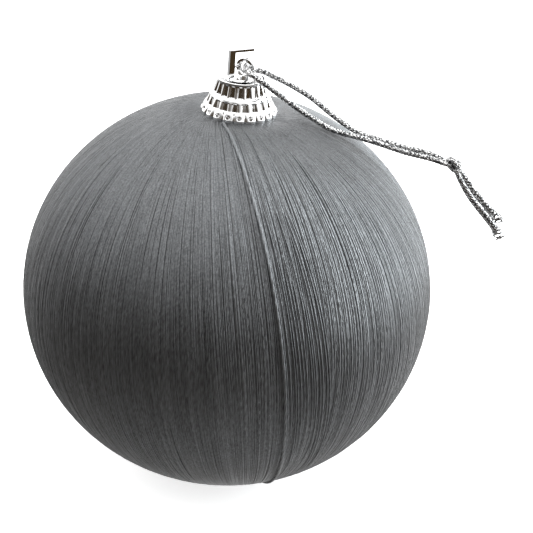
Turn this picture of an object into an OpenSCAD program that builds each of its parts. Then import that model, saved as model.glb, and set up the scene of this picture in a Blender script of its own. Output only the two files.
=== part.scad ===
// Hanging ball ornament: a foam ball wound with satin thread, a plated bell cap pinned
// into its top, and a knotted loop of braided cord through the eyelet.
// Millimetres. +Z runs up the ball's axis, +X is the side that the cord lies over, and the
// origin is at the lowest point of the ball.

/* [Ball] */
// Width of the finished ball, over the thread
ball_d = 80; // [60:1:110]
// Height of the finished ball, squashed a little at the poles
ball_h = 77; // [58:1:108]
// Thickness of the wound thread
wrap_t = 0.9; // [0.6:0.1:1.4]
// Width of the raised closing strand
strand_d = 0.6; // [0.4:0.1:0.9]

/* [Cap] */
// Width of the cap over the petals of its skirt
cap_d = 14.3; // [11:0.1:18]
// Height of the cap from the skirt's edge to its deck
cap_h = 6.5; // [5.5:0.1:8]
// Width of the cap's rim, round the deck
rim_d = 8.9; // [7.4:0.1:10.6]
// Wall of the cap
cap_wall = 0.6; // [0.4:0.1:0.9]
// Number of flutes and petals round the cap
flute_count = 20; // [16:1:24]
// Depth of the flutes
flute_depth = 0.25; // [0.15:0.05:0.35]
// How far the skirt is turned round the ball's axis, in degrees
cap_turn = 4.5; // [0:0.5:18]
// How far the skirt's inner edge is pressed into the foam under the thread
cap_sink = 0.02; // [0.02:0.02:0.3]
// Clearance round the skirt in its seat
seat_gap = 0.05; // [0.05:0.05:0.2]

/* [Eye pin] */
// Width of the eyelet ring
eye_d = 4; // [3.6:0.1:4.8]
// Width of the hole in the eyelet
eye_hole_d = 2.3; // [2.2:0.1:2.8]
// Thickness of the eyelet ring
eye_t = 1; // [0.8:0.1:1.2]
// How far the eyelet is turned about its stem, in degrees
eye_turn = 30; // [20:1:34]
// How far the eyelet stands to the cord's side of the pin
eye_offset = 0.8; // [0.4:0.1:1]
// Width of the flange that lies on the cap's deck
flange_d = 5.4; // [5:0.1:6]
// Thickness of the flange
flange_t = 0.4; // [0.3:0.05:0.6]
// Width of the pin's shank
pin_d = 2.2; // [1.8:0.1:2.7]
// Length of the pin below the skirt's edge
pin_depth = 14; // [10:0.5:20]
// How far each barb stands out from the shank
barb_out = 0.4; // [0.2:0.1:0.6]
// Number of barbs on the pin
barb_count = 3; // [2:1:4]

/* [Glue] */
// Thickness of the glue round the pin, measured over the barbs
glue_t = 0.3; // [0.2:0.05:0.5]
// Width of the glue collar under the cap
collar_d = 7; // [6:0.1:9]
// Height of the glue collar
collar_h = 0.9; // [0.6:0.1:1.4]

/* [Runner stub] */
// Width of the upright bar
bar_w = 1.1; // [0.9:0.1:1.2]
// Depth of both bars
bar_depth = 0.8; // [0.6:0.05:0.9]
// Gap between the top bar and the eyelet ring
bar_gap = 1.3; // [0.6:0.1:1.8]
// Thickness of the top bar
top_bar_t = 0.45; // [0.35:0.05:0.6]
// Length of the top bar
top_bar_l = 4.9; // [4.4:0.1:5.2]
// How far the stub is turned about the upright bar, in degrees
bar_turn = 27; // [16:1:32]
// Width of the gate between the stub and the eyelet
gate_d = 0.6; // [0.4:0.1:0.7]

/* [Cord] */
// Width of the braided cord
cord_d = 1.1; // [0.9:0.05:1.2]
// Width of the knot
knot_d = 3.2; // [2.8:0.1:3.6]

/* [Hidden] */

$fn = 64;
eps = 0.01;
tube_sides = 8;

// Ball
ball_r = ball_d / 2;
ball_c = ball_h / 2;
core_r = ball_r - wrap_t;
core_c = ball_c - wrap_t;
profile_steps = 36;
// Height of an egg-round surface above the ball's middle, at radius r
function dome(r, a, c) = c * sqrt(1 - pow(r / a, 2));

// Cap levels, from the skirt's edge upwards
cap_r = cap_d / 2;
rim_r = rim_d / 2;
edge_r = cap_r - 0.2;
skirt_z = ball_c + dome(edge_r - cap_wall, core_r, core_c) - cap_sink;
petal_step = 360 / flute_count;
petal_r = PI * cap_r / flute_count;
petal_t = 0.6;
petal_z = 0.85;
petal_lean = 14;
petal_room = 1;
dimple_r = 0.32;
dimple_depth = 0.3;
flute_share = 0.28;
flute_margin = 0.08;
lower_z = 0.22 * cap_h;
waist_z = 0.53 * cap_h;
upper_z = 0.56 * cap_h;
neck_z = 0.96 * cap_h;
taper = cap_r - rim_r;
lower_r = cap_r - 0.28 * taper;
waist_r = cap_r - 0.55 * taper;
upper_r = cap_r - 0.74 * taper;
neck_r = rim_r - 0.1;
rim_in_r = rim_r - 0.5;
edge_h = 0.5;
rim_h = 0.2;
rim_round = 0.1;
ledge = 0.15;
step_out = 0.25;
deck_z = skirt_z + cap_h;

// Eye pin
eye_r = eye_d / 2;
eye_lift = 0.12;
eye_z = deck_z + eye_r + eye_lift;
eye_chamfer = 0.2;
pin_r = pin_d / 2;
barb_pitch = 3;
barb_h = 1.4;
point_h = 2.5;
boss_r = 1.4;
boss_gap = 0.15;
boss_top = eye_z - eye_hole_d / 2 - boss_gap;
shank_top = skirt_z - 1;

// Glue
glue_r = pin_r + barb_out + glue_t;
glue_under = 0.6;
glue_depth = pin_depth + glue_under;

// Runner stub
bar_inset = 0.25;
bar_front = 1.9;
gate_bite = 0.2;
bar_at = [-(flange_d - bar_w) / 2 + bar_inset, -bar_front];
bar_foot_z = deck_z;
bar_top_z = eye_z + eye_r + bar_gap + top_bar_t;

// The hinge line of the cord runs along Y through the middle of the eyelet.
cord_r = cord_d / 2;
front_route = [
    [0.8, 0, 84.2], [0.8, -0.9, 84.2], [1, -2, 84.1], [1.7, -2.8, 83.8], [2.7, -3.2, 83.4],
    [3.7, -3.5, 82.8], [5, -3.5, 82], [7, -3.4, 80.6], [9, -3.3, 79.2], [11.5, -3, 77.5],
    [14.5, -2.6, 75.6], [17, -2.2, 74.1], [20, -1.6, 73], [23, -1.1, 72.2], [27, -0.8, 71.1],
    [32, -0.7, 69.7], [37, -0.6, 68.7], [40.4, -0.6, 68]
];
back_route = [
    [0.8, 0, 84.2], [0.8, 0.9, 84.2], [1, 1.7, 84.1], [1.7, 2, 83.7], [2.7, 1.9, 83.2],
    [3.7, 1.8, 83], [4.6, 1.7, 82.8], [5.6, 1.7, 82.3], [9.5, 1.6, 80.7], [13.5, 1.5, 78.5],
    [17, 1.2, 76], [20, 0.7, 74.1], [23, 0.5, 72.5], [27, 0.5, 71.4], [32, 0.5, 70.2],
    [37, 0.6, 69.2], [40.4, 0.6, 68.4]
];
long_route = [
    [41.7, -0.5, 66.8], [42.5, -0.6, 65.7], [43.8, -0.6, 63.6], [45.4, -0.6, 61.4],
    [46.9, -0.6, 59.7], [49.9, -0.6, 56.4], [52.4, -0.6, 53.3]
];
short_route = [
    [42.1, 0.5, 66.9], [43.2, 0.6, 65.7], [44.3, 0.6, 64.4], [46.6, 0.6, 61.6],
    [49.1, 0.6, 59], [52.1, 0.6, 56]
];
knot_at = [41.5, 0, 67.5];

// Closing strand: a great circle that misses the top of the ball by strand_tilt. Its start
// is just clear of the cap, whose edge is skirt_angle from the top of the ball.
strand_tilt = 7;
strand_turn = 15;
strand_near_r = cap_r + seat_gap + strand_d / 2;
skirt_angle = atan2(strand_near_r, dome(strand_near_r, ball_r, ball_c));
strand_from = acos(cos(skirt_angle) / cos(strand_tilt));
strand_to = 152;
strand_step = 3;

function unit(v) = v / norm(v);

// One ring of a tube round point c, square to the direction t
function tube_ring(c, t, r, up) =
    let (side = unit(cross(t, up)), over = cross(side, t))
    [for (k = [0 : tube_sides - 1])
        let (a = 360 * k / tube_sides)
        c + r * (cos(a) * side + sin(a) * over)];

// Direction of a route at its point i
function heading(route, i) =
    let (last = len(route) - 1)
    unit(route[min(i + 1, last)] - route[max(i - 1, 0)]);

// A closed tube of radius r along a route; up is a direction that the route never follows
module tube(route, r, up) {
    rings = len(route);
    sides = tube_sides;
    points = [for (i = [0 : rings - 1]) each tube_ring(route[i], heading(route, i), r, up)];
    walls = [for (i = [0 : rings - 2], k = [0 : sides - 1])
        let (a = i * sides + k, b = i * sides + (k + 1) % sides)
        each [[a, b, b + sides], [a, b + sides, a + sides]]];
    start = [[for (k = [sides - 1 : -1 : 0]) k]];
    finish = [[for (k = [0 : sides - 1]) (rings - 1) * sides + k]];
    polyhedron(points, concat(start, walls, finish));
}

// An egg-round solid about the ball's middle, a wide and c high from its middle
module egg(a, c) {
    translate([0, 0, ball_c])
    rotate_extrude()
    polygon([for (i = [0 : profile_steps])
        let (t = 180 * i / profile_steps - 90)
        [i == 0 || i == profile_steps ? 0 : a * cos(t), c * sin(t)]]);
}

// The flat seat that the skirt presses into the top of the ball
module cap_seat() {
    translate([0, 0, skirt_z])
    cylinder(r = cap_r + seat_gap, h = ball_h - skirt_z + eps);
}

module foam_core() {
    color("ivory")
    difference() {
        egg(core_r, core_c);
        cap_seat();
        translate([0, 0, skirt_z - glue_depth])
        cylinder(r = glue_r, h = glue_depth + ball_h);
    }
}

module thread_wrap() {
    color("slategray")
    difference() {
        egg(ball_r, ball_c);
        egg(core_r, core_c);
        cap_seat();
    }
}

// A point of the closing strand, at angle t down from the top
function strand_point(t) =
    let (
        circle = [0, -sin(t), cos(t)],
        tilted = [circle[2] * -sin(strand_tilt), circle[1], circle[2] * cos(strand_tilt)],
        dir = [
            tilted[0] * cos(strand_turn) - tilted[1] * sin(strand_turn),
            tilted[0] * sin(strand_turn) + tilted[1] * cos(strand_turn),
            tilted[2]
        ],
        reach = 1 / norm([dir[0] / ball_r, dir[1] / ball_r, dir[2] / ball_c])
    )
    [0, 0, ball_c] + reach * dir;

module closing_strand() {
    route = [for (t = [strand_from : strand_step : strand_to]) strand_point(t)];
    color("lightslategray")
    tube(route, strand_d / 2, [1, 0, 0]);
}

// Outline of the bell's outside, from the skirt's edge to the rim, heights above the edge
bell_outside = [
    [edge_r, 0], [edge_r, edge_h], [lower_r + rim_round, lower_z], [lower_r, lower_z],
    [waist_r, waist_z], [upper_r + step_out, upper_z], [upper_r, upper_z + ledge],
    [neck_r, neck_z], [rim_r, neck_z + rim_round], [rim_r, cap_h + rim_h - rim_round],
    [rim_r - rim_round, cap_h + rim_h], [rim_in_r + rim_round, cap_h + rim_h],
    [rim_in_r, cap_h]
];

// The outside outline moved in by one wall, for the hollow of the bell
bell_inside = [
    [edge_r - cap_wall, 0], [edge_r - cap_wall, edge_h],
    [lower_r - cap_wall, lower_z], [waist_r - cap_wall, waist_z],
    [upper_r - cap_wall, upper_z], [neck_r - cap_wall, cap_h - cap_wall]
];

module bell_shell() {
    rotate_extrude()
    polygon(concat(
        bell_outside,
        [[pin_r, cap_h], [pin_r, cap_h - cap_wall]],
        [for (i = [len(bell_inside) - 1 : -1 : 0]) bell_inside[i]]
    ));
}

// A row of upright flutes cut into a tapered band between two radii and heights
module flute_row(r_low, z_low, r_high, z_high, phase) {
    lean = atan2(r_low - r_high, z_high - z_low);
    length = norm([r_low - r_high, z_high - z_low]);
    flute_r = flute_share * 2 * PI * r_high / flute_count;
    for (i = [0 : flute_count - 1])
    rotate([0, 0, i * petal_step + phase])
    translate([r_low + flute_r - flute_depth, 0, z_low])
    rotate([0, -lean, 0])
    translate([0, 0, flute_margin * length])
    cylinder(r = flute_r, h = (1 - 2 * flute_margin) * length, $fn = 24);
}

// A row of round petals on the skirt
module petal_row(r, thick, out) {
    for (i = [0 : flute_count - 1])
    rotate([0, 0, i * petal_step])
    translate([cap_r - petal_t - petal_z * tan(petal_lean) + out, 0, petal_z])
    rotate([0, 90 - petal_lean, 0])
    cylinder(r = r, h = thick, $fn = 24);
}

module bell_cap() {
    color("silver")
    translate([0, 0, skirt_z])
    rotate([0, 0, cap_turn])
    difference() {
        union() {
            bell_shell();
            intersection() {
                petal_row(petal_r, petal_t, 0);
                cylinder(r = cap_r + petal_room, h = cap_h);
            }
        }
        petal_row(dimple_r, petal_t, petal_t - dimple_depth);
        flute_row(lower_r, lower_z, waist_r, waist_z, petal_step / 2);
        flute_row(upper_r, upper_z + ledge, neck_r, neck_z, 0);
    }
}

module eyelet_ring() {
    inner = eye_hole_d / 2;
    half = eye_t / 2;
    translate([eye_offset, 0, eye_z])
    rotate([0, 0, -eye_turn])
    rotate([90, 0, 0])
    rotate_extrude()
    polygon([
        [inner, -half + eye_chamfer], [inner + eye_chamfer, -half],
        [eye_r - eye_chamfer, -half], [eye_r, -half + eye_chamfer],
        [eye_r, half - eye_chamfer], [eye_r - eye_chamfer, half],
        [inner + eye_chamfer, half], [inner, half - eye_chamfer]
    ]);
}

// The pin's outline from the flange down to its point: a shank with saw-tooth barbs
module pin_shank() {
    rotate_extrude()
    polygon(concat(
        [[0, deck_z + flange_t], [flange_d / 2, deck_z + flange_t], [flange_d / 2, deck_z]],
        [[pin_r, deck_z], [pin_r, shank_top]],
        [for (i = [0 : barb_count - 1])
            let (z = shank_top - i * barb_pitch)
            each [[pin_r, z - barb_pitch + barb_h], [pin_r + barb_out, z - barb_pitch + barb_h],
                [pin_r, z - barb_pitch]]],
        [[pin_r, skirt_z - pin_depth + point_h], [0, skirt_z - pin_depth]]
    ));
}

module eye_pin() {
    color("gainsboro")
    union() {
        eyelet_ring();
        pin_shank();
        translate([eye_offset, 0, deck_z])
        cylinder(r = boss_r, h = boss_top - deck_z);
    }
}

module glue_collar() {
    color("palegoldenrod")
    difference() {
        union() {
            translate([0, 0, skirt_z - glue_depth])
            cylinder(r = glue_r, h = glue_depth + eps);
            translate([0, 0, skirt_z])
            cylinder(r1 = collar_d / 2, r2 = collar_d / 2 - collar_h, h = collar_h);
        }
        pin_shank();
    }
}

module runner_stub() {
    gate_from = [eye_offset - eye_r * cos(eye_turn), eye_r * sin(eye_turn)];
    gate_run = gate_from - bar_at;
    color("gainsboro")
    union() {
        translate([bar_at[0], bar_at[1], bar_foot_z])
        rotate([0, 0, bar_turn]) {
            translate([-bar_w / 2, -bar_depth / 2, 0])
            cube([bar_w, bar_depth, bar_top_z - bar_foot_z]);
            translate([-bar_w / 2, -bar_depth / 2, bar_top_z - bar_foot_z - top_bar_t])
            cube([top_bar_l, bar_depth, top_bar_t]);
        }
        translate([bar_at[0], bar_at[1], eye_z])
        rotate([0, 0, atan2(gate_run[1], gate_run[0])])
        rotate([0, 90, 0])
        cylinder(r = gate_d / 2, h = norm(gate_run) + gate_bite, $fn = 16);
    }
}

module cord_front() {
    color("darkgray")
    tube(front_route, cord_r, [0, 0, 1]);
}

module cord_back() {
    color("darkgray")
    tube(back_route, cord_r, [0, 0, 1]);
}

module cord_knot() {
    color("darkgray")
    translate(knot_at)
    sphere(d = knot_d);
}

module tail_long() {
    color("darkgray")
    tube(long_route, cord_r, [0, 1, 0]);
}

module tail_short() {
    color("darkgray")
    tube(short_route, cord_r, [0, 1, 0]);
}

foam_core();
thread_wrap();
closing_strand();
bell_cap();
eye_pin();
runner_stub();
glue_collar();
cord_front();
cord_back();
cord_knot();
tail_long();
tail_short();
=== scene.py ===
# %% [markdown]
# # A thread-wound ball ornament
# The real thing is a foam ball wound from pole to pole with satin thread. A bell cap of plated
# plastic is pinned into its top, and a braided tinsel cord hangs from the eyelet.
# The drawing already fixes every size, so this lesson starts by loading it as a frame that
# never moves. The looks are then built around it, in metres, with +Z up the ball's axis.

# %% Load the frame
import math

import bpy
import numpy as np
from mathutils import Matrix, Vector


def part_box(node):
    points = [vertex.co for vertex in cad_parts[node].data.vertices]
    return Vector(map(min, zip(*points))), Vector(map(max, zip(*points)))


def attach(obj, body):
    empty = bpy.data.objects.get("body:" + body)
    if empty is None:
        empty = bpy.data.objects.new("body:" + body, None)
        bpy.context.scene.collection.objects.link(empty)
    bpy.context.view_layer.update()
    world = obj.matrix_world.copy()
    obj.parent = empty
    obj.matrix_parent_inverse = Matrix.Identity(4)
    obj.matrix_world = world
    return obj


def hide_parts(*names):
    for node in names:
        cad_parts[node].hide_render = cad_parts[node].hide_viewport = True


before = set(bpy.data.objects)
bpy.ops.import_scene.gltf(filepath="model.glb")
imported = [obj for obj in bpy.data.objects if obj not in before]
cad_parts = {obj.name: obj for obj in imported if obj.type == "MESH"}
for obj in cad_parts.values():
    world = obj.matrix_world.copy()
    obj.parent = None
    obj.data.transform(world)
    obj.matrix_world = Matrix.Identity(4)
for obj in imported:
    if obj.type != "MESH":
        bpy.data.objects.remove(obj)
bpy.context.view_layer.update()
MM = 0.001

# %% [markdown]
# ## The camera
# A product picture of a small thing is taken from a little above with a long lens, so that the
# ball stays round. The camera could be placed by eye, but then each change needs a new guess.
# Here it stands at a distance and a height angle from the ball's middle, and is then turned a
# little off it, because the cord on the right needs room in the picture.

# %% Place the camera
BALL_H = 77 * MM
wrap_low, wrap_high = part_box("thread_wrap")
ball_r = (wrap_high.y - wrap_low.y) / 2
ball_c = BALL_H / 2
ball_mid = Vector((0, 0, ball_c))
CAMERA_FAR = 320 * MM
CAMERA_RISE = math.radians(26.5)
CAMERA_LEAN = math.radians(3.7)
AIM_RIGHT = math.radians(1.384)
AIM_UP = math.radians(0.726)
LENS_MM = 109.3


def camera_axes():
    """Right, up and aim of a camera that leans, and looks a little right of and over the ball."""
    back = Vector((0, -math.cos(CAMERA_RISE), math.sin(CAMERA_RISE)))
    level = Vector((1, 0, 0))
    over = level.cross(-back)
    right = level * math.cos(CAMERA_LEAN) + over * math.sin(CAMERA_LEAN)
    up = over * math.cos(CAMERA_LEAN) - level * math.sin(CAMERA_LEAN)
    aim = (-back + right * math.tan(AIM_RIGHT) + up * math.tan(AIM_UP)).normalized()
    right = (right - aim * right.dot(aim)).normalized()
    return right, right.cross(aim), aim, back


right, up, aim, back = camera_axes()
camera = bpy.data.objects.new("camera", bpy.data.cameras.new("camera"))
bpy.context.scene.collection.objects.link(camera)
camera.matrix_world = (
    Matrix.Translation(ball_mid + back * CAMERA_FAR)
    @ Matrix((right, up, -aim)).transposed().to_4x4()
)
camera.data.lens = LENS_MM
camera.data.clip_start = 10 * MM
camera.data.clip_end = 10
bpy.context.scene.camera = camera
print("ball", round(2 * ball_r / MM, 1), "mm wide, camera", CAMERA_FAR / MM, "mm away")

# %% [markdown]
# ## The cord's path
# The cord is one braid, doubled through the eyelet and tied in an overhand knot. Its two halves
# are two pieces that meet in the eyelet. Each follows the drawing's route to the knot, goes
# through the knot, and leaves along its tail. Straight lines between the route's points would
# kink, so a curve that passes through every point joins them, and it is then cut into equal
# steps. A curve object could do the same, but here the points are needed as numbers too, for the
# braid's strands and for the cord's real length.

# %% Cord routes, in metres, as on the drawing
FRONT_ROUTE = [
    (0.0008, 0, 0.0842), (0.0008, -0.0009, 0.0842), (0.001, -0.002, 0.0841),
    (0.0017, -0.0028, 0.0838), (0.0027, -0.0032, 0.0834), (0.0037, -0.0035, 0.0828),
    (0.005, -0.0035, 0.082), (0.007, -0.0034, 0.0806), (0.009, -0.0033, 0.0792),
    (0.0115, -0.003, 0.0775), (0.0145, -0.0026, 0.0756), (0.017, -0.0022, 0.0741),
    (0.02, -0.0016, 0.073), (0.023, -0.0011, 0.0722), (0.027, -0.0008, 0.0711),
    (0.032, -0.0007, 0.0697), (0.037, -0.0006, 0.0687), (0.0404, -0.0006, 0.068),
]
BACK_ROUTE = [
    (0.0008, 0, 0.0842), (0.0008, 0.0009, 0.0842), (0.001, 0.0017, 0.0841),
    (0.0017, 0.002, 0.0837), (0.0027, 0.0019, 0.0832), (0.0037, 0.0018, 0.083),
    (0.0046, 0.0017, 0.0828), (0.0056, 0.0017, 0.0823), (0.0095, 0.0016, 0.0807),
    (0.0135, 0.0015, 0.0785), (0.017, 0.0012, 0.076), (0.02, 0.0007, 0.0741),
    (0.023, 0.0005, 0.0725), (0.027, 0.0005, 0.0714), (0.032, 0.0005, 0.0702),
    (0.037, 0.0006, 0.0692), (0.0404, 0.0006, 0.0684),
]
LONG_ROUTE = [
    (0.0417, -0.0005, 0.0668), (0.0425, -0.0006, 0.0657), (0.0438, -0.0006, 0.0636),
    (0.0454, -0.0006, 0.0614), (0.0469, -0.0006, 0.0597), (0.0499, -0.0006, 0.0564),
    (0.0524, -0.0006, 0.0533),
]
SHORT_ROUTE = [
    (0.0421, 0.0005, 0.0669), (0.0432, 0.0006, 0.0657), (0.0443, 0.0006, 0.0644),
    (0.0466, 0.0006, 0.0616), (0.0491, 0.0006, 0.059), (0.0521, 0.0006, 0.056),
]
KNOT_AT = np.array((0.0415, 0, 0.0675))
print("route points:", len(FRONT_ROUTE), len(BACK_ROUTE), len(LONG_ROUTE), len(SHORT_ROUTE))


# %% A smooth path through points
PATH_STEP = 0.12 * MM


def unit(v):
    """The vectors of an array at length one."""
    return v / np.linalg.norm(v, axis=-1, keepdims=True)


def smooth_path(points):
    """A smooth curve through all the points, cut into equal steps."""
    p = np.asarray(points, float)
    p = np.vstack([2 * p[0] - p[1], p, 2 * p[-1] - p[-2]])
    t = np.linspace(0, 1, 24, endpoint=False)[:, None]
    pieces = []
    for a, b, c, d in zip(p, p[1:], p[2:], p[3:]):
        pull_b = (c - a) * min(1, 2 * np.linalg.norm(c - b) / np.linalg.norm(c - a)) / 2
        pull_c = (d - b) * min(1, 2 * np.linalg.norm(c - b) / np.linalg.norm(d - b)) / 2
        pieces.append(
            (2 * t**3 - 3 * t**2 + 1) * b + (t**3 - 2 * t**2 + t) * pull_b
            + (3 * t**2 - 2 * t**3) * c + (t**3 - t**2) * pull_c
        )
    curve = np.vstack([*pieces, p[-2]])
    run = np.r_[0, np.cumsum(np.linalg.norm(np.diff(curve, axis=0), axis=1))]
    even = np.linspace(0, run[-1], int(run[-1] / PATH_STEP) + 1)
    return np.column_stack([np.interp(even, run, curve[:, k]) for k in range(3)])


def length_of(path):
    """Length of a path of close points."""
    return float(np.linalg.norm(np.diff(path, axis=0), axis=1).sum())


print("loop to the knot:", round(length_of(smooth_path(FRONT_ROUTE)) / MM, 1), "mm")

# %% [markdown]
# ## The knot
# Both halves go through one overhand knot, side by side, which keeps the loop closed. It could
# be a lump with a knot's looks. But the trefoil curve is an overhand knot whose two ends are
# joined, and with one lobe cut open it is the real knot. So the strands cross over and under as
# they should, and the lump comes by itself.

# %% The overhand knot
KNOT_SIZE = 0.46 * MM
KNOT_DEPTH = 0.62 * MM
KNOT_SLOPE = math.radians(-34)
CUT_OPEN = math.radians(52)
BESIDE_MIDDLE = 0.3 * MM


def overhand(shift):
    """Points through the knot for a strand that lies shift beside the knot's middle, in Y."""
    turn = np.linspace(math.pi + CUT_OPEN, 3 * math.pi - CUT_OPEN, 26)
    along = -(np.sin(turn) + 2 * np.sin(2 * turn)) * KNOT_SIZE
    across = (np.cos(turn) - 2 * np.cos(2 * turn) - 0.5) * KNOT_SIZE
    deep = np.sin(3 * turn) * KNOT_DEPTH + shift
    x = along * math.cos(KNOT_SLOPE) - across * math.sin(KNOT_SLOPE)
    z = along * math.sin(KNOT_SLOPE) + across * math.cos(KNOT_SLOPE)
    return KNOT_AT + np.column_stack([x, deep, z])


def whole_path(route, tail, shift):
    """One half of the cord: from the eyelet, through the knot, to the end of its tail."""
    return smooth_path([*route[:-1], *overhand(shift), *tail[1:]])


front_path = whole_path(FRONT_ROUTE, SHORT_ROUTE, -BESIDE_MIDDLE)
back_path = whole_path(BACK_ROUTE, LONG_ROUTE, BESIDE_MIDDLE)
for label, path in (("front half", front_path), ("back half", back_path)):
    print("cord,", label, round(length_of(path) / MM, 1), "mm long")

# %% [markdown]
# ## Tubes
# A thread is a thin tube along a path, and so is each strand of a braid. A curve object with a
# bevel is the quick way to make one, but it can't hold hundreds of strands with their own tone
# in one piece. So a batch collects rings of points from many tubes, puts them into one mesh, and
# keeps a number for each point, called tone, that the finish can read later.

# %% A batch of tubes
class Batch:
    """Closed tubes, collected ring by ring, that become one piece."""

    def __init__(self):
        self.points, self.faces, self.tones, self.count = [], [], [], 0

    def tube(self, path, side, over, half_w, half_t, tone, sides=6, spin=0.0):
        """Adds a tube: half_w to each side of the path and half_t over and under it."""
        angle = np.arange(sides) * 2 * math.pi / sides + spin
        half_w = np.broadcast_to(half_w, len(path))[:, None, None]
        half_t = np.broadcast_to(half_t, len(path))[:, None, None]
        rings = path[:, None] + half_w * np.cos(angle)[:, None] * side[:, None]
        rings = rings + half_t * np.sin(angle)[:, None] * over[:, None]
        index = self.count + np.arange(len(path) * sides).reshape(len(path), sides)
        beside = np.roll(index, -1, axis=1)
        walls = np.stack([index[:-1], beside[:-1], beside[1:], index[1:]], axis=-1)
        self.faces += walls.reshape(-1, 4).tolist()
        self.faces += [index[0][::-1].tolist(), index[-1].tolist()]
        self.points.append(rings.reshape(-1, 3))
        self.tones.append(np.repeat(np.broadcast_to(tone, len(path)), sides))
        self.count += rings.shape[0] * sides

    def piece(self, name):
        """The collected tubes as one smooth object."""
        return new_piece(name, np.vstack(self.points), self.faces, np.concatenate(self.tones))


def new_piece(name, points, faces, tones=None):
    """A smooth mesh object, with a tone for each point if there is one."""
    mesh = bpy.data.meshes.new(name)
    mesh.from_pydata(points, [], faces)
    if tones is not None:
        mesh.attributes.new("tone", "FLOAT", "POINT").data.foreach_set("value", tones)
    mesh.shade_smooth()
    thing = bpy.data.objects.new(name, mesh)
    bpy.context.scene.collection.objects.link(thing)
    return thing


# %% Directions along a path
def path_axes(path):
    """Side and over of each point of a path, turning as little as they can along it."""
    ahead = unit(np.gradient(path, axis=0))
    over = np.empty_like(ahead)
    now = np.array((0, 0, 1), float)
    for i, heading in enumerate(ahead):
        now = now - heading * (now @ heading)
        now /= np.linalg.norm(now)
        over[i] = now
    return np.cross(over, ahead), over


print("the cord leaves the eyelet with its side towards", path_axes(front_path)[0][0].round(2))

# %% [markdown]
# ## The tinsel braid
# The cord is a hollow braid of eight flat strands of metal film: four run clockwise and four
# anticlockwise, each over one and under the next. A round tube with a braid painted on it would
# look flat at the edge, so each strand is swept on its own helix, and its distance from the
# middle swings in and out as it passes over and under. The braid is tight in the loop, squeezed
# in the knot and open at the tails, where the strands part and fray.

# %% Sizes of the braid
BRAID_R = 0.41 * MM
BRAID_WAVE = 0.06 * MM
BRAID_PITCH = 3.2 * MM
STRANDS_EACH_WAY = 4
STRAND_HALF_W = 0.25 * MM
STRAND_HALF_T = 0.08 * MM
KNOT_REACH = 2.2 * MM
KNOT_SQUEEZE = 0.2
OPEN_LENGTH = 16 * MM
OPEN_STEEPNESS = 1.8
FRONT_LOOSENESS = 0.5
BACK_LOOSENESS = 0.45
FRAY_LENGTH = 3.2 * MM
FRAY_THINS = 0.45
rng = np.random.default_rng(7)
print("braid", round(2 * (BRAID_R + BRAID_WAVE) / MM, 2), "mm across")


# %% Braid one half of the cord
def ease(x):
    """0 below 0, 1 above 1, and a soft step between."""
    x = np.clip(x, 0, 1)
    return x * x * (3 - 2 * x)


def braid(name, path, looseness):
    """Sweeps the eight strands of a braid along a path and frays its end."""
    batch = Batch()
    side, over = path_axes(path)
    run = np.r_[0, np.cumsum(np.linalg.norm(np.diff(path, axis=0), axis=1))]
    left = run[-1] - run
    knot_near = np.exp(-((np.linalg.norm(path - KNOT_AT, axis=1) / KNOT_REACH) ** 4))
    fray = ease(1 - left / FRAY_LENGTH)
    open_up = ease(OPEN_STEEPNESS * (1 - left / OPEN_LENGTH)) * looseness
    reach = BRAID_R * (1 - KNOT_SQUEEZE * knot_near + open_up)
    for way in (1, -1):
        for strand in range(STRANDS_EACH_WAY):
            angle = way * 2 * math.pi * run / BRAID_PITCH
            angle = angle + strand * 2 * math.pi / STRANDS_EACH_WAY
            angle = angle + fray * rng.uniform(-0.9, 0.9)
            swing = BRAID_WAVE * np.cos(STRANDS_EACH_WAY * 2 * math.pi * run / BRAID_PITCH)
            away = reach + way * swing + fray * rng.uniform(0.1, 0.9) * MM
            out = np.cos(angle)[:, None] * side + np.sin(angle)[:, None] * over
            stop = len(path) - int(rng.uniform(0, 9))
            line = (path + away[:, None] * out)[:stop]
            heading = unit(np.gradient(line, axis=0))
            flat = unit(out[:stop] - heading * np.sum(out[:stop] * heading, axis=1)[:, None])
            tone = rng.uniform(0, 1)
            thin = 1 - FRAY_THINS * fray[:stop]
            batch.tube(line, np.cross(flat, heading), flat, STRAND_HALF_W * thin,
                       STRAND_HALF_T * thin, tone)
    return batch.piece(name)


# %% Both halves of the cord
cord_a = braid("cord_front_half", front_path, FRONT_LOOSENESS)
cord_b = braid("cord_back_half", back_path, BACK_LOOSENESS)
for cord, path, cad_nodes in (
    (cord_a, front_path, ("cord_front", "tail_short", "cord_knot")),
    (cord_b, back_path, ("cord_back", "tail_long")),
):
    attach(cord, "cord_loop")
    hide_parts(*cad_nodes)
    print(cord.name, len(cord.data.polygons), "faces")

# %% [markdown]
# ## The thread
# Several hundred turns of satin thread cover the foam. Each turn is a great circle that just
# misses the poles, so that the thread crosses itself in a rosette at the bottom and under the
# cap. The turns could be a bump on a sphere, but a satin ball gets its soft horizontal bands of
# light from round threads that all run up and down, and that needs real tubes. Each half turn
# here is one tube, with its own height, width and tone. Its end at the bottom dives under its
# neighbours, as a thread does where the next ones cover it.

# %% Points on the ball
THREAD_COUNT = 1300
THREAD_HALF_W = 0.165 * MM
THREAD_HALF_T = 0.08 * MM
THREAD_STEP = math.radians(3.2)
PRESS_DEPTH = 0.8 * MM
PRESS_REACH = 13 * MM
seat_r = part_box("bell_cap")[1].x


def on_ball(direction, drop):
    """Points of the ball's surface in these directions, less a drop and the dent under the cap."""
    size = np.array((ball_r, ball_r, ball_c))
    reach = 1 / np.linalg.norm(direction / size, axis=1)
    from_axis = reach * np.hypot(direction[:, 0], direction[:, 1])
    press = PRESS_DEPTH * ease((PRESS_REACH - from_axis) / (PRESS_REACH - seat_r))
    reach = reach - drop - press * (direction[:, 2] > 0)
    return np.array(ball_mid) + direction * reach[:, None]


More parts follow.
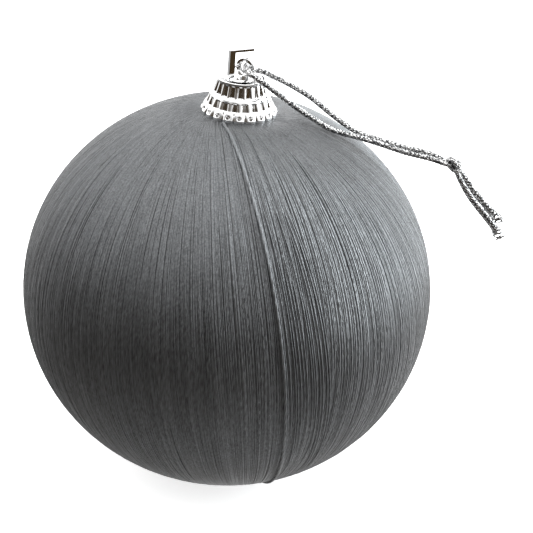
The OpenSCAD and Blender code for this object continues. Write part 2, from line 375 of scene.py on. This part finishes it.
dent = on_ball(np.array([[0.05, 0, 1.0]]), 0)[0, 2] - 2 * ball_c
print("the cap presses the thread", round(-dent / MM, 1), "mm in")


# %% One thread along a great circle
def great_circle(turn, tilt, angles):
    """Directions of a circle round the ball that misses its top by tilt, at angles down from it."""
    x = -math.sin(tilt) * np.cos(angles)
    y = -np.sin(angles)
    z = math.cos(tilt) * np.cos(angles)
    return np.column_stack([
        x * math.cos(turn) - y * math.sin(turn),
        x * math.sin(turn) + y * math.cos(turn),
        z,
    ])


def lay_thread(batch, turn, tilt, angles, drop, half_w, half_t, tone):
    """Adds one four-sided thread along a great circle."""
    direction = great_circle(turn, tilt, angles)
    line = on_ball(direction, drop)
    out = unit(direction / np.array((ball_r, ball_r, ball_c)) ** 2)
    heading = unit(np.gradient(line, axis=0))
    batch.tube(line, np.cross(out, heading), out, half_w, half_t, tone, 4, math.pi / 4)


# %% Wind the ball
WRAP_PIECES = 4
LAY_TILT = 5.0
SLOW_SWAY = 2.4
QUICK_SWAY = 1.2
NEAR_POLE = math.radians(9)
PROUD_SHARE = 0.015
TONE_MIDDLE = 0.45
TONE_SPREAD = 0.3
THREAD_DROP = 0.15 * MM
THREAD_RISE = 0.045 * MM
THREAD_WANDER = 0.025 * MM
THREAD_DIVE = 0.5 * MM
threads = []
sway_start = rng.uniform(0, 2 * math.pi, 3)
order = np.arange(THREAD_COUNT)
turns = (order + rng.uniform(-0.25, 0.25, THREAD_COUNT)) * 2 * math.pi / THREAD_COUNT
for part, part_turns in enumerate(np.array_split(turns, WRAP_PIECES), 1):
    batch = Batch()
    for turn in part_turns:
        sway = SLOW_SWAY * math.sin(2 * turn + sway_start[0])
        sway = sway + QUICK_SWAY * math.sin(5 * turn + sway_start[1])
        tilt = math.radians(LAY_TILT + sway + rng.uniform(-0.4, 0.4))
        first = -rng.uniform(0, 1) * NEAR_POLE
        last = math.pi + rng.uniform(1.2, 3.2) * NEAR_POLE
        angles = np.arange(first, last, THREAD_STEP)
        proud = rng.uniform(0, 1) < PROUD_SHARE
        loose = 0.15 + 0.85 * ease((angles - 0.5) / 1.6)
        drop = THREAD_DROP - THREAD_RISE * loose * (rng.uniform(0, 1) + proud)
        wander = THREAD_WANDER * np.sin(angles * rng.uniform(3, 9) + rng.uniform(0, 6))
        dive = THREAD_DIVE * ease((angles - last + 2 * NEAR_POLE) / (2 * NEAR_POLE))
        width = THREAD_HALF_W * rng.uniform(0.8, 1.2)
        tone = TONE_MIDDLE + TONE_SPREAD * loose * (rng.uniform(0, 1) - 0.5)
        lay_thread(batch, turn, tilt, angles, drop + wander + dive, width, THREAD_HALF_T, tone)
    threads.append(batch.piece(f"thread_winding_{part}"))
    print(threads[-1].name, len(threads[-1].data.polygons), "faces")

# %% [markdown]
# ## The layer underneath
# Between the upper threads the eye sees older layers of the same thread. They don't need tubes
# of their own: one closed shell just below is enough. It has the ball's egg shape, and the cap
# presses it in at the top as it presses the threads.

# %% A closed shape from rows of points
def lathe(name, outline, columns):
    """A closed outline of radius and height, turned round the Z axis."""
    outline = np.asarray(outline, float)
    angle = np.arange(columns) * 2 * math.pi / columns
    points = np.stack([
        outline[:, None, 0] * np.cos(angle),
        outline[:, None, 0] * np.sin(angle),
        np.repeat(outline[:, None, 1], columns, axis=1),
    ], axis=-1)
    return grid_piece(name, points)


def grid_piece(name, points):
    """A mesh from rows of points that close on themselves both ways."""
    rows, columns = points.shape[:2]
    index = np.arange(rows * columns).reshape(rows, columns)
    beside = np.roll(index, -1, axis=1)
    above = np.roll(index, -1, axis=0)
    corner = np.roll(beside, -1, axis=0)
    faces = np.stack([index, beside, corner, above], axis=-1).reshape(-1, 4)
    return new_piece(name, points.reshape(-1, 3), faces.tolist())


# %% Shell under the threads
SHELL_DROP = 0.24 * MM
SHELL_WALL = 0.5 * MM
SHELL_COLUMNS = 360
SHELL_BOTTOM = math.radians(179.3)
SHELL_TOP = math.radians(8.5)


def egg_outline(drop, steps):
    """Radius and height up the ball's side, from a pinhole at the bottom to under the cap."""
    t = np.linspace(SHELL_BOTTOM, SHELL_TOP, steps)
    line = on_ball(np.column_stack([np.sin(t), 0 * t, np.cos(t)]), drop)
    return line[:, [0, 2]]


outer = egg_outline(SHELL_DROP, 140)
inner = egg_outline(SHELL_DROP + SHELL_WALL, 60)[::-1]
# The shell gets no tone, so the thread finish reads 0 on it and paints it darker than the threads
# above: painted shade in the gaps between them.
under_wrap = lathe("thread_underlayer", np.vstack([outer, inner]), SHELL_COLUMNS)
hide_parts("thread_wrap")
for thing in (*threads, under_wrap):
    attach(thing, "ball")
print(under_wrap.name, len(under_wrap.data.polygons), "faces")

# %% [markdown]
# ## The closing strand
# The winding ends in one thicker strand that is glued down over the rest. It is a loose twist of
# three yarns, so three tubes wind round the strand's path, and a few single threads lie beside
# it. The path is the drawing's: a great circle that starts at the cap's edge.

# %% Lay the closing strand
STRAND_TILT = math.radians(7)
STRAND_TURN = math.radians(16.4)
STRAND_END = math.radians(152)
STRAND_LIFT = 0.08 * MM
CAP_GAP = 0.65 * MM
skirt_angle = math.asin((seat_r + CAP_GAP) / ball_r)
strand_start = math.acos(math.cos(skirt_angle) / math.cos(STRAND_TILT))
strand_angles = np.arange(strand_start, STRAND_END, math.radians(0.6))
strand_line = on_ball(great_circle(STRAND_TURN, STRAND_TILT, strand_angles), -STRAND_LIFT)
strand_side, strand_over = path_axes(strand_line)
strand_run = np.r_[0, np.cumsum(np.linalg.norm(np.diff(strand_line, axis=0), axis=1))]
print("closing strand", round(strand_run[-1] / MM, 1), "mm long")

# %% Twist its three yarns
YARN_TWIST = 7 * MM
YARN_OFF_MIDDLE = 0.13 * MM
YARN_HALF_W = 0.17 * MM
YARN_HALF_T = 0.13 * MM
# The yarns' tone is lighter than the threads' middle tone: a painted highlight for the light that
# the raised strand catches.
YARN_HIGHLIGHT_TONE = 0.72
closing = Batch()
for yarn in range(3):
    angle = 2 * math.pi * (strand_run / YARN_TWIST + yarn / 3)
    line = strand_line + YARN_OFF_MIDDLE * (
        np.cos(angle)[:, None] * strand_side + np.sin(angle)[:, None] * strand_over
    )
    closing.tube(line, strand_side, strand_over, YARN_HALF_W, YARN_HALF_T, YARN_HIGHLIGHT_TONE, 8)

# %% Single threads beside it
BESIDE = 14
BESIDE_DEGREES = 0.9
BESIDE_DROP = 0.07 * MM
BESIDE_DIVE = 0.25 * MM
BESIDE_HALF_W = 0.14 * MM
BESIDE_HALF_T = 0.11 * MM
for k in range(BESIDE):
    turn = STRAND_TURN + math.radians(BESIDE_DEGREES * (k + 1) + rng.uniform(-0.3, 0.3))
    angles = np.arange(math.radians(rng.uniform(24, 60)), math.radians(rng.uniform(110, 150)),
                       math.radians(2))
    fade = BESIDE_DIVE * (1 - ease((angles - angles[0]) * 4) * ease((angles[-1] - angles) * 4))
    lay_thread(closing, turn, STRAND_TILT, angles, fade + BESIDE_DROP, BESIDE_HALF_W,
               BESIDE_HALF_T, rng.uniform(0.35, 0.65))
closing_strand = closing.piece("closing_strand_yarns")
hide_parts("closing_strand")
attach(closing_strand, "ball")
print(closing_strand.name, len(closing_strand.data.polygons), "faces")

# %% [markdown]
# ## The bell cap
# The cap is moulded plastic under a coat of bright metal: a skirt of round petals, each with a
# dimple, and two rows of upright windows between rounded ribs. All its detail repeats twenty
# times. It could be cut with booleans, but a mirror-bright surface shows every bad facet. So it
# is one lathe surface with many columns, and each point moves in or out by a formula of its
# place between two ribs and its height. The bends are then smooth and the mesh stays closed. The
# cap's numbers are in millimetres, from its axis and up from its edge.

# %% Outline of the cap
cap_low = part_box("bell_cap")[0]
FLUTES = 20
FLUTE_COLUMNS = 28
CAP_TURN = math.radians(1.5)
OUTSIDE = [
    (6.75, 0), (6.8, 0.12), (6.7, 0.5), (6.48, 1.35), (6.38, 1.6), (6.02, 2.5), (5.68, 3.3),
    (5.55, 3.5), (5.5, 3.62), (5.28, 3.75), (5.1, 3.95), (4.72, 5.1), (4.42, 6.1), (4.4, 6.28),
    (4.46, 6.4), (4.46, 6.58), (4.38, 6.68), (4.2, 6.7), (4.05, 6.64), (3.95, 6.5),
]
INSIDE = [(1.12, 5.9), (3.7, 5.9), (4.55, 3.6), (5.75, 1.4), (6.3, 0)]
OUTSIDE_STEPS = 150
INSIDE_STEPS = 24


def along_outline(corners, steps):
    """A line of corners cut into steps of equal length, in millimetres."""
    corners = np.asarray(corners, float)
    run = np.r_[0, np.cumsum(np.linalg.norm(np.diff(corners, axis=0), axis=1))]
    even = np.linspace(0, run[-1], steps)
    return np.column_stack([np.interp(even, run, corners[:, k]) for k in range(2)])


skin = along_outline(OUTSIDE, OUTSIDE_STEPS)
inside = along_outline(INSIDE, INSIDE_STEPS)
print("cap's outline:", len(skin), "rows outside and", len(inside), "inside")

# %% [markdown]
# ## Petals, dimples and windows
# Light on the real cap jumps between three things: the round petals of the skirt with a dimple
# each, the windows sunk between its ribs, and the smooth bands above and below them. Each is a
# formula here. A petal is a part of a sphere and a dimple is a smaller one pushed in. A window
# is a slot with round ends, and the rib beside it is half a circle across.

# %% Sizes of the relief
PETAL_R = 1.02
PETAL_AT = 0.82
PETAL_RISE = 0.36
PETAL_LEAN = 0.26
PETAL_ROUND = 0.42
PETAL_DROOP = 0.35
PETAL_TOP = 2.2
DIMPLE_R = 0.4
DIMPLE_DEPTH = 0.6
DIMPLE_ROUND = 0.6
WINDOW_DEPTH = 0.2
WINDOW_SLOPE = 0.18
WINDOW_ROWS = [(1.6, 3.42, 0.5), (3.86, 6.24, 0.0)]
WINDOW_SHARE = 0.38
WINDOW_FADE = 0.3
print("a petal is", 2 * PETAL_R, "mm across, and a window", WINDOW_DEPTH, "mm deep or more")


# %% Petals, dimples and windows
def cap_relief(beside, height, radius):
    """How far the cap's surface stands out, in mm, beside a petal's middle by a share of a step."""
    pitch = 2 * math.pi * radius / FLUTES
    side = beside * pitch
    drop = np.minimum(height - PETAL_AT, 0) * PETAL_DROOP
    rise = np.maximum(height - PETAL_AT, 0)
    petal = np.clip(1 - (side**2 + drop**2 + rise**2) / PETAL_R**2, 0, 1)
    out = (PETAL_RISE + PETAL_LEAN * (PETAL_AT - height)) * petal**PETAL_ROUND
    out = out * (height < PETAL_TOP)
    dimple = np.clip(1 - (side**2 + (height - PETAL_AT) ** 2) / DIMPLE_R**2, 0, 1)
    out = out - DIMPLE_DEPTH * dimple**DIMPLE_ROUND
    for low, high, phase in WINDOW_ROWS:
        off = np.abs((beside + phase + 0.5) % 1 - 0.5) * pitch
        half = WINDOW_SHARE * pitch / 2
        over_end = np.maximum(np.maximum(low + half - height, height - high + half), 0)
        opening = np.sqrt(np.clip(half**2 - over_end**2, 0, None))
        across = np.clip((off - opening) / (pitch - 2 * opening), 0, 1)
        rib = 2 * np.sqrt(across * (1 - across))
        fade = ease((height - low) / WINDOW_FADE) * ease((high - height) / WINDOW_FADE)
        out = out - (WINDOW_DEPTH + WINDOW_SLOPE * (high - height)) * (1 - rib) * fade
    return out


# %% Press the relief into the cap
EDGE_FADE = 0.3
RIM_AT = 6.3
RIM_FADE = 0.2
SKIRT_TOP = 1
SKIRT_SHARE = 0.8
columns = FLUTES * FLUTE_COLUMNS
turn_share = np.arange(columns) / FLUTE_COLUMNS
beside = (turn_share + 0.5) % 1 - 0.5
relief = cap_relief(beside[None, :], skin[:, 1, None], skin[:, 0, None])
lean = unit(np.gradient(skin, axis=0))
normal = np.column_stack([lean[:, 1], -lean[:, 0]])
shut = ease(skin[:, 1] / EDGE_FADE) * ease((RIM_AT - skin[:, 1]) / RIM_FADE)
relief = relief * np.maximum(shut, (skin[:, 1] < SKIRT_TOP) * SKIRT_SHARE)[:, None]
radius = skin[:, 0, None] + relief * normal[:, 0, None]
height = skin[:, 1, None] + relief * normal[:, 1, None]
radius = np.vstack([radius, np.repeat(inside[:, :1], columns, axis=1)]) * MM
height = np.vstack([height, np.repeat(inside[:, 1:], columns, axis=1)]) * MM + cap_low.z
angle = turn_share * 2 * math.pi / FLUTES + CAP_TURN
cap_points = np.stack([radius * np.cos(angle), radius * np.sin(angle), height], axis=-1)
bell = grid_piece("bell_cap_shell", cap_points)
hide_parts("bell_cap")
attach(bell, "ball")
print(bell.name, len(bell.data.polygons), "faces")

# %% [markdown]
# ## Shader maths
# A finish is a small sum: some noise, times an amount, plus a colour. Wiring each sum by hand
# takes many lines, so one class wraps a socket and lets Python's own operators add the Math
# nodes. Colours are mixed with a Mix node, because a Math node would turn them grey.

# %% Sockets that can be added and multiplied
class Wire:
    """One output socket of a material's node tree."""

    def __init__(self, tree, socket=None):
        self.tree, self.socket = tree, socket

    def add(self, kind, settings=None, sockets=None, out=0):
        """Adds a node: its settings first, then its sockets' values or links."""
        node = self.tree.nodes.new(kind)
        for name, value in (settings or {}).items():
            if name == "stops":
                set_stops(node.color_ramp, value)
            else:
                setattr(node, name, value)
        for name, value in (sockets or {}).items():
            if isinstance(value, Wire):
                self.tree.links.new(value.socket, node.inputs[name])
            else:
                node.inputs[name].default_value = value
        return Wire(self.tree, node.outputs[out])

    def math(self, operation, a, b):
        """A Math node of two values."""
        return self.add("ShaderNodeMath", {"operation": operation}, {0: a, 1: b})

    def mix(self, low, high):
        """A colour between two others, by this wire's value."""
        sockets = {"Factor": self, "A": low, "B": high}
        return self.add("ShaderNodeMix", {"data_type": "RGBA"}, sockets, out=2)

    def plus(self, other):
        """Two colours added."""
        settings = {"data_type": "RGBA", "blend_type": "ADD"}
        return self.add("ShaderNodeMix", settings, {"Factor": 1.0, "A": self, "B": other}, out=2)

    def __add__(self, other):
        return self.math("ADD", self, other)

    def __sub__(self, other):
        return self.math("SUBTRACT", self, other)

    def __rsub__(self, other):
        return self.math("SUBTRACT", other, self)

    def __mul__(self, other):
        return self.math("MULTIPLY", self, other)

    __radd__ = __add__
    __rmul__ = __mul__


# %% Ramps, materials and greys
def set_stops(ramp, stops):
    """Gives a colour ramp its stops, each a place and a colour."""
    while len(ramp.elements) < len(stops):
        ramp.elements.new(1.0)
    for element, (place, colour) in zip(ramp.elements, stops):
        element.position = place
        element.color = colour


def finish_for(name, **uniform):
    """A material, a wire into its tree, and its Principled shader with the uniform values set."""
    material = bpy.data.materials.new(name)
    material.use_nodes = True
    tree = material.node_tree
    shader = tree.nodes["Principled BSDF"]
    for socket, value in uniform.items():
        shader.inputs[socket.replace("_", " ")].default_value = value
    return material, Wire(tree), shader


def plug(wire, shader, socket):
    """Links a wire to one of the shader's sockets."""
    wire.tree.links.new(wire.socket, shader.inputs[socket])


def dress(material, *things):
    """Gives each thing one material."""
    for thing in things:
        thing.data.materials.clear()
        thing.data.materials.append(material)


def grey(value, warmth=0.0):
    """A grey, with its red raised and its blue lowered by warmth."""
    return (value * (1 + warmth), value, value * (1 - warmth), 1)


def noise(place, scale, detail):
    """Smooth noise with this many bumps to the metre."""
    return place.add("ShaderNodeTexNoise", {}, {"Vector": place, "Scale": scale, "Detail": detail})


def bumps(height, strength, distance, invert=False):
    """A normal from a height, up to a distance deep."""
    sockets = {"Strength": strength, "Distance": distance, "Height": height}
    return height.add("ShaderNodeBump", {"invert": invert}, sockets)


def tell(material):
    """Says how many nodes a material has."""
    print(material.name, len(material.node_tree.nodes), "nodes")


# %% [markdown]
# ## Satin thread
# Satin thread is a bundle of very fine, glossy filaments. It shines across its length and
# hardly along it. The round tubes already do that, so the shader only needs a soft gloss over
# a grey body. The tone that each tube carries makes one thread a little lighter than the next.
# Three noises break it up: one drawn out along the ball's height, one in soft clouds, and a very
# fine one, painted into the colour as glints where single filaments catch the light.

# %% Thread finish
def satin_thread():
    material, wire, shader = finish_for("satin_thread", Roughness=0.38, Metallic=0.9)
    tone = wire.add("ShaderNodeAttribute", {"attribute_name": "tone"}, out=2)
    place = wire.add("ShaderNodeTexCoord", out=3)
    drawn_out = wire.add("ShaderNodeMapping", {}, {"Vector": place, "Scale": (9, 9, 1.2)})
    streaks = noise(drawn_out, 60.0, 3.0)
    clouds = noise(place, 45.0, 2.0)
    fine = wire.add("ShaderNodeMapping", {}, {"Vector": place, "Scale": (6, 6, 1)})
    # Painted highlights: a very fine noise lightens the colour in flecks, where single filaments
    # would catch the light.
    painted_glints = noise(fine, 650.0, 1.0)
    amount = tone + streaks * 0.3 + clouds * 0.2 + painted_glints - 0.75
    plug(amount.mix(grey(0.06, -0.02), grey(0.27, -0.04)), shader, "Base Color")
    plug(bumps(streaks, 0.35, 0.05 * MM), shader, "Normal")
    return material


thread_finish = satin_thread()
dress(thread_finish, *threads, under_wrap, closing_strand)
tell(thread_finish)

# %% [markdown]
# ## Bright plating
# The cap, the eyelet pin and the runner stub are plastic with a bright metal coat. A perfect
# mirror would look drawn, so a little noise in the roughness and in the height gives the soft
# ripple of moulded plastic. The pin and the stub come straight from the drawing, with sharp
# edges that no moulding has, so a bevel rounds them: it changes the edges and nothing else.

# %% Plating finish
def bright_plating():
    material, wire, shader = finish_for("bright_plating", Metallic=1.0, Roughness=0.08)
    place = wire.add("ShaderNodeTexCoord", out=3)
    ripple = noise(place, 900.0, 2.0)
    haze = noise(place, 300.0, 4.0)
    plug(haze * 0.12 + 0.03, shader, "Roughness")
    plug(haze.mix(grey(0.95), grey(0.86)), shader, "Base Color")
    plug(bumps(ripple, 0.25, 0.03 * MM), shader, "Normal")
    return material


plating_finish = bright_plating()
dress(plating_finish, bell)
tell(plating_finish)

# %% Round the edges of the pin and the stub
EDGE_R = 0.12 * MM
EDGE_ANGLE = math.radians(25)
for name in ("eye_pin", "runner_stub"):
    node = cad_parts[name]
    dress(plating_finish, node)
    rounding = node.modifiers.new("moulded_edges", "BEVEL")
    rounding.width = EDGE_R
    rounding.segments = 3
    rounding.angle_limit = EDGE_ANGLE
    rounding.harden_normals = True
    print(name, "has edges rounded by", EDGE_R / MM, "mm")

# %% [markdown]
# ## Tinsel
# The braid's strands are narrow strips of metal film, creased at random. Each crease catches
# the light or misses it, so the cord is a speckle of near white and near black, painted into
# the film's colour as highlight and shade.

# %% Tinsel finish
def tinsel():
    material, wire, shader = finish_for("tinsel_film", Metallic=1.0, Roughness=0.2)
    place = wire.add("ShaderNodeTexCoord", out=3)
    crease = wire.add("ShaderNodeTexVoronoi", {"feature": "F1"}, {"Vector": place, "Scale": 3200.0})
    painted_glint_and_shade = noise(place, 2600.0, 2.0)
    # The ramp paints near black and near white into the film's colour: painted shade and painted
    # highlights of the creases.
    stops = {"stops": [(0.38, grey(0.07, -0.05)), (0.5, grey(0.38)), (0.6, grey(0.88))]}
    plug(wire.add("ShaderNodeValToRGB", stops, {"Fac": painted_glint_and_shade}), shader, "Base Color")
    plug(bumps(crease, 0.6, 0.06 * MM), shader, "Normal")
    return material


tinsel_finish = tinsel()
dress(tinsel_finish, cord_a, cord_b)
tell(tinsel_finish)

# %% [markdown]
# ## The hidden pieces
# The foam ball and the glue don't show on a whole ornament, but whoever takes the cap off sees
# them. Expanded foam is a mass of white beads pressed together, which is what a Voronoi pattern
# draws. The glue is clear, yellowish and glossy.

# %% Foam and glue finishes
def beaded_foam():
    material, wire, shader = finish_for("beaded_foam", Roughness=0.8)
    place = wire.add("ShaderNodeTexCoord", out=3)
    beads = wire.add("ShaderNodeTexVoronoi", {"feature": "F1"}, {"Vector": place, "Scale": 420.0})
    plug(beads.mix(grey(0.93, 0.01), grey(0.75, 0.02)), shader, "Base Color")
    plug(bumps(beads, 0.8, 0.3 * MM, invert=True), shader, "Normal")
    return material


def clear_glue():
    material, wire, shader = finish_for("clear_glue", Roughness=0.15, Coat_Weight=0.5)
    place = wire.add("ShaderNodeTexCoord", out=3)
    drips = noise(place, 500.0, 2.0)
    plug(drips.mix(grey(0.55, 0.1), grey(0.8, 0.12)), shader, "Base Color")
    plug(bumps(drips, 0.6, 0.2 * MM), shader, "Normal")
    return material


for finish, name in ((beaded_foam(), "foam_core"), (clear_glue(), "glue_collar")):
    dress(finish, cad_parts[name])
    tell(finish)

# %% [markdown]
# ## The floor
# The ornament stands on a plain pale sheet. It glows a little, so that the ball's shadow stays
# faint, and it is left out of mirror images, so that the tent below lights the ball's underside
# evenly. A sheet with a curved back would do too, but from above a flat one looks the same.

# %% Floor
FLOOR_HALF = 2.0
FLOOR_GLOW = 0.7
corner_signs = ((-1, -1), (1, -1), (1, 1), (-1, 1))
floor_corners = [(x * FLOOR_HALF, y * FLOOR_HALF, 0) for x, y in corner_signs]
floor = new_piece("floor", floor_corners, [(0, 1, 2, 3)])
floor.visible_glossy = False
floor_finish, wire, shader = finish_for("pale_floor", Roughness=0.9)
place = wire.add("ShaderNodeTexCoord", out=3)
grain = noise(place, 30.0, 2.0)
plug(grain.mix(grey(0.9), grey(0.93)), shader, "Base Color")
shader.inputs["Emission Color"].default_value = grey(1.0)
shader.inputs["Emission Strength"].default_value = FLOOR_GLOW
dress(floor_finish, floor)
tell(floor_finish)

# %% [markdown]
# ## The tent
# Bright metal shows whatever is around it, so it is shot in a white tent with something dark in
# front that draws its shapes. The sky here is that tent, leaned back to the right: white towards
# its middle, and dark and brownish away from it, where the room would be. Some light comes from
# straight below. A small white window on the left lights the cap's side, and a dark card low in
# front on the right gives the bar its dark face. Real cards and lamps could stand round the
# ball, but a sky needs no placing and never gets in the camera's way.

# %% Where the light comes from
TENT_SIDE = Vector((0.38, 0.58, 0.72))
TENT_POWER = 1.8
UNDER_SIDE = Vector((0, -0.1, -1))
LEFT_SIDE = Vector((-0.9, 0.2, 0.38))
CARD_SIDE = Vector((0.62, -0.7, -0.36))
print("the tent leans", round(math.degrees(Vector((0, 0, 1)).angle(TENT_SIDE))), "degrees back")


# %% Sky
def toward(place, side, stops):
    """A colour by how near a direction is to a side: stop 1 is straight at it, 0 straight away."""
    nearness = place.add("ShaderNodeVectorMath", {"operation": "DOT_PRODUCT"},
                         {0: place, 1: tuple(side.normalized())}, out=1)
    return place.add("ShaderNodeValToRGB", {"stops": stops}, {"Fac": nearness * 0.5 + 0.5})


def sky():
    """White towards the tent's side and dark away from it; the camera itself sees plain white."""
    world = bpy.data.worlds.new("tent")
    world.use_nodes = True
    bpy.context.scene.world = world
    tree = world.node_tree
    place = Wire(tree).add("ShaderNodeTexCoord", out=0)
    light = toward(place, TENT_SIDE, [
        (0.0, grey(0.02, 0.4)), (0.1, grey(0.015, 0.4)), (0.2, grey(0.02, 0.3)),
        (0.3, grey(0.08, 0.15)), (0.38, grey(0.2)), (0.46, grey(0.44)), (0.56, grey(0.66)),
        (0.67, grey(0.8)), (0.86, grey(1.0)),
    ])
    light = light.plus(toward(place, UNDER_SIDE, [
        (0.79, grey(0.0)), (0.9, grey(0.11)), (0.99, grey(0.27)),
    ]))
    light = light.plus(toward(place, LEFT_SIDE, [(0.91, grey(0.0)), (0.985, grey(0.5))]))
    card = toward(place, CARD_SIDE, [(0.92, grey(0.0)), (0.95, grey(1.0))])
    light = card.mix(light, grey(0.02, 0.45))
    seen = place.add("ShaderNodeLightPath", out=0)
    shown = seen.mix(light, grey(1 / TENT_POWER))
    tree.links.new(shown.socket, tree.nodes["Background"].inputs["Color"])
    tree.nodes["Background"].inputs["Strength"].default_value = TENT_POWER
    print(world.name, len(tree.nodes), "nodes")


sky()

# %% [markdown]
# ## Lamps
# The satin has a brighter edge on the right than the tent alone gives, so a wide lamp stands
# there, a little blue as daylight is. A weak one overhead fills in. A small lamp would give
# each thread a hard glint, and satin has none.

# %% Lamps
def lamp(name, place, size, power):
    """A square soft lamp that looks at the ball."""
    light = bpy.data.objects.new(name, bpy.data.lights.new(name, "AREA"))
    light.data.shape = "SQUARE"
    light.data.size = size
    light.data.energy = power
    light.location = place
    light.rotation_euler = (ball_mid - light.location).to_track_quat("-Z", "Y").to_euler()
    bpy.context.scene.collection.objects.link(light)
    print(name, power, "W,", size, "m wide")
    return light


DAYLIGHT = (0.9, 0.97, 1.0)
lamp("top_lamp", Vector((-0.05, -0.1, 0.6)), 0.4, 0.3)
right_lamp = lamp("right_lamp", Vector((0.55, 0.25, 0.16)), 0.5, 3.8)
right_lamp.data.color = DAYLIGHT
bpy.context.scene.view_settings.view_transform = "Standard"
